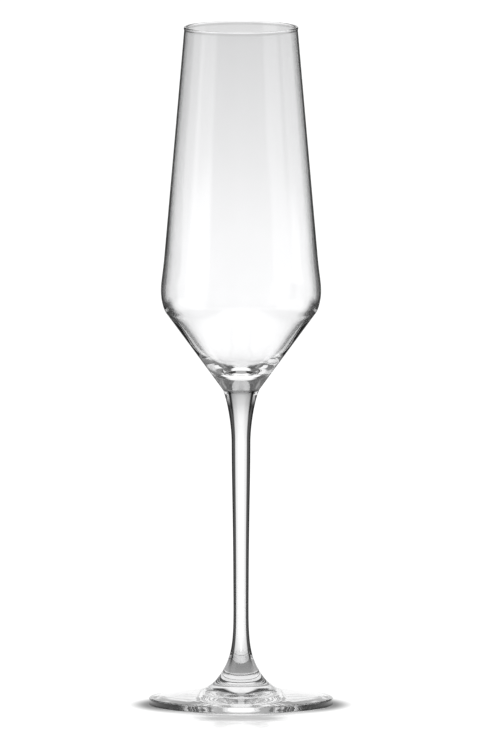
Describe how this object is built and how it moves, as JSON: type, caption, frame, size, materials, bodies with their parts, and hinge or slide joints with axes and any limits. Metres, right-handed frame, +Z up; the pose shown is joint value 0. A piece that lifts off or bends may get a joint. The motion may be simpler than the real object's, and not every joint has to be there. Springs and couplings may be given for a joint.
{
  "type": "champagne flute",
  "caption": "Tall clear-glass flute: slim bowl tapering up to a rounded rim, solid heel, thin stem and flat round foot.",
  "frame": {"origin": "centre of the ring that the foot stands on", "axes": "+Z up along the glass's axis, out of the mouth; the glass is a body of revolution, so +X and +Y are any two level directions"},
  "size_m": [0.0675, 0.0674, 0.25],
  "materials": {
    "bowl_glass": "clear, fire polished",
    "stem_glass": "clear, drawn",
    "foot_glass": "clear, pressed and fire polished"
  },
  "bodies": {
    "root": {"bowl": "bowl_glass", "stem": "stem_glass", "foot": "foot_glass"}
  },
  "joints": []
}
